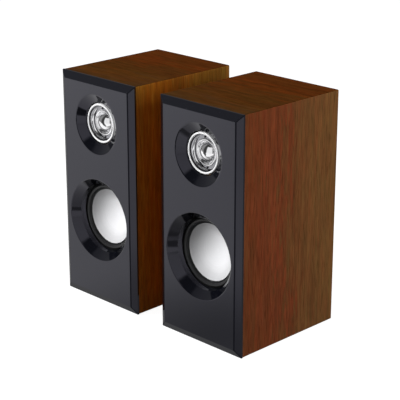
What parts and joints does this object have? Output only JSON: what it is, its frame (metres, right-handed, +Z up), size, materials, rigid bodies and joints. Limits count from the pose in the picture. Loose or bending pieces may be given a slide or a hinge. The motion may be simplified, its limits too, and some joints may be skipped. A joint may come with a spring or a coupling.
{
  "type": "desktop speakers",
  "caption": "Pair of small two-way desktop speakers with wooden cabinets, bevelled gloss black fascias, silver dish woofers and chromed tweeters.",
  "frame": {"origin": "on the floor, midway between the two speakers and midway between the fascias and the end of the volume knob", "axes": "+Z up, +X towards the amplified right-hand speaker, fronts facing -Y"},
  "size_m": [0.202, 0.1146, 0.1912],
  "materials": {
    "cabinet_wood": "satin walnut vinyl wrap on board",
    "inner_board": "raw fibreboard",
    "rear_board_black": "black painted fibreboard",
    "fascia_gloss_black": "high gloss black",
    "pressed_steel": "black painted pressed steel",
    "gasket_foam": "matt foam",
    "surround_rubber": "smooth matt rubber",
    "cone_silver": "satin silver",
    "copper_winding": "enamelled copper",
    "spider_cloth": "resin-stiffened cloth",
    "plated_steel": "zinc plated",
    "ferrite": "ground ferrite",
    "chrome_trim": "bright chrome plate",
    "chrome_dome": "polished metal foil",
    "fittings_black": "fine matt black",
    "nickel_plate": "bright nickel plate",
    "foot_rubber": "matt rubber pad",
    "screw_steel": "black oxide",
    "knob_black": "matt black",
    "socket_green": "coloured moulding",
    "circuit_board": "green solder mask"
  },
  "bodies": {
    "cabinets": {"left_top_board": "cabinet_wood", "left_bottom_board": "cabinet_wood", "left_outer_side_board": "cabinet_wood", "left_inner_side_board": "cabinet_wood", "left_front_board": "inner_board", "left_rear_board": "rear_board_black", "left_fascia": "fascia_gloss_black", "left_woofer_frame": "pressed_steel", "left_woofer_gasket": "gasket_foam", "left_woofer_surround": "surround_rubber", "left_woofer_spider": "spider_cloth", "left_woofer_top_plate": "plated_steel", "left_woofer_magnet": "ferrite", "left_woofer_yoke": "plated_steel", "left_tweeter_bezel": "chrome_trim", "left_tweeter_diaphragm": "chrome_dome", "left_tweeter_coil": "copper_winding", "left_tweeter_magnet": "ferrite", "left_tweeter_yoke": "plated_steel", "left_tweeter_housing": "fittings_black", "left_port_tube": "fittings_black", "left_terminal_plate": "fittings_black", "left_link_socket": "nickel_plate", "right_top_board": "cabinet_wood", "right_bottom_board": "cabinet_wood", "right_outer_side_board": "cabinet_wood", "right_inner_side_board": "cabinet_wood", "right_front_board": "inner_board", "right_rear_board": "rear_board_black", "right_fascia": "fascia_gloss_black", "right_woofer_frame": "pressed_steel", "right_woofer_gasket": "gasket_foam", "right_woofer_surround": "surround_rubber", "right_woofer_spider": "spider_cloth", "right_woofer_top_plate": "plated_steel", "right_woofer_magnet": "ferrite", "right_woofer_yoke": "plated_steel", "right_tweeter_bezel": "chrome_trim", "right_tweeter_diaphragm": "chrome_dome", "right_tweeter_coil": "copper_winding", "right_tweeter_magnet": "ferrite", "right_tweeter_yoke": "plated_steel", "right_tweeter_housing": "fittings_black", "right_port_tube": "fittings_black", "right_control_plate": "fittings_black", "right_link_socket": "nickel_plate", "feet": "foot_rubber", "woofer_screws": "screw_steel", "tweeter_screws": "screw_steel", "plate_screws": "screw_steel", "volume_pot": "plated_steel", "line_in_socket": "socket_green", "power_socket": "fittings_black", "right_amplifier_board": "circuit_board"},
    "left_cone": {"left_woofer_cone": "cone_silver", "left_voice_coil": "copper_winding"},
    "right_cone": {"right_woofer_cone": "cone_silver", "right_voice_coil": "copper_winding"},
    "volume_control": {"volume_knob": "knob_black", "volume_shaft": "plated_steel"}
  },
  "joints": [
    {"name": "left_cone_travel", "type": "slide", "parent": "cabinets", "child": "left_cone", "axis": [0, -1, 0], "range_m": [-0.0015, 0.0015], "stiffness_N_per_m": 800, "deforming": ["left_woofer_surround", "left_woofer_spider"]},
    {"name": "right_cone_travel", "type": "slide", "parent": "cabinets", "child": "right_cone", "axis": [0, -1, 0], "range_m": [-0.0015, 0.0015], "stiffness_N_per_m": 800, "deforming": ["right_woofer_surround", "right_woofer_spider"]},
    {"name": "volume_turn", "type": "hinge", "parent": "cabinets", "child": "volume_control", "pos_m": [0.0578, 0.05375, 0.0812], "axis": [0, 1, 0], "range_deg": [-150, 150]}
  ]
}
